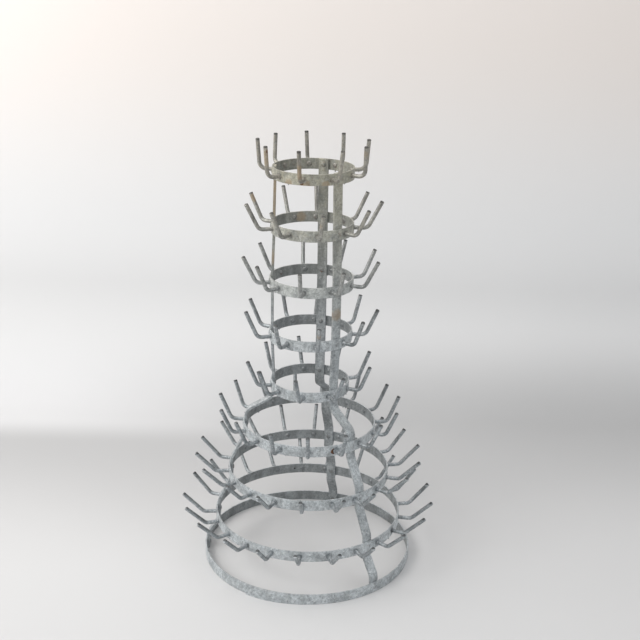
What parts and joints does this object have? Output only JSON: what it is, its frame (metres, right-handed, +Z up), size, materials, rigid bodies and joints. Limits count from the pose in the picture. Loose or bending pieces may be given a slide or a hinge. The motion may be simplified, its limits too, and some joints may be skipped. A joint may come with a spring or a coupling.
{
  "type": "bottle drying rack",
  "caption": "Free-standing galvanised bottle drying rack: riveted strip hoops on bent uprights, carrying upturned rod pegs for bottles.",
  "frame": {"origin": "centre of the base hoop, on the floor", "axes": "+Z up the rack; -Y is the front, +X the right-hand side seen from the front"},
  "size_m": [0.5317, 0.5337, 0.8921],
  "materials": {
    "galvanised_strip": "weathered hot-dip galvanised steel, dull mottled grey with faint spangle and a little rust at ends and rivets",
    "galvanised_bar": "weathered hot-dip galvanised steel, dull mottled grey with faint spangle and a little rust at ends and rivets",
    "galvanised_rod": "weathered hot-dip galvanised steel, dull mottled grey with faint spangle and a little rust at ends and rivets",
    "galvanised_rivet": "weathered hot-dip galvanised steel, dull mottled grey with faint spangle and a little rust at ends and rivets"
  },
  "bodies": {
    "root": {"base_hoop": "galvanised_strip", "base_lap_rivets": "galvanised_rivet", "peg_hoop_1": "galvanised_strip", "peg_hoop_2": "galvanised_strip", "peg_hoop_3": "galvanised_strip", "peg_hoop_4": "galvanised_strip", "peg_hoop_5": "galvanised_strip", "peg_hoop_6": "galvanised_strip", "peg_hoop_7": "galvanised_strip", "peg_hoop_8": "galvanised_strip", "pegs_tier_1_back": "galvanised_rod", "pegs_tier_1_front": "galvanised_rod", "pegs_tier_1_right": "galvanised_rod", "pegs_tier_2_back": "galvanised_rod", "pegs_tier_2_front": "galvanised_rod", "pegs_tier_2_right": "galvanised_rod", "pegs_tier_3_back": "galvanised_rod", "pegs_tier_3_front": "galvanised_rod", "pegs_tier_3_right": "galvanised_rod", "pegs_tier_4_back": "galvanised_rod", "pegs_tier_4_front": "galvanised_rod", "pegs_tier_4_right": "galvanised_rod", "pegs_tier_5_back": "galvanised_rod", "pegs_tier_5_front": "galvanised_rod", "pegs_tier_5_right": "galvanised_rod", "pegs_tier_6_back": "galvanised_rod", "pegs_tier_6_front": "galvanised_rod", "pegs_tier_6_right": "galvanised_rod", "pegs_tier_7_back": "galvanised_rod", "pegs_tier_7_front": "galvanised_rod", "pegs_tier_7_right": "galvanised_rod", "pegs_tier_8_back": "galvanised_rod", "pegs_tier_8_front": "galvanised_rod", "pegs_tier_8_right": "galvanised_rod", "upright_back": "galvanised_bar", "upright_front": "galvanised_bar", "upright_left": "galvanised_bar", "upright_rivets_back": "galvanised_rivet", "upright_rivets_front": "galvanised_rivet", "upright_rivets_left": "galvanised_rivet"}
  },
  "joints": []
}
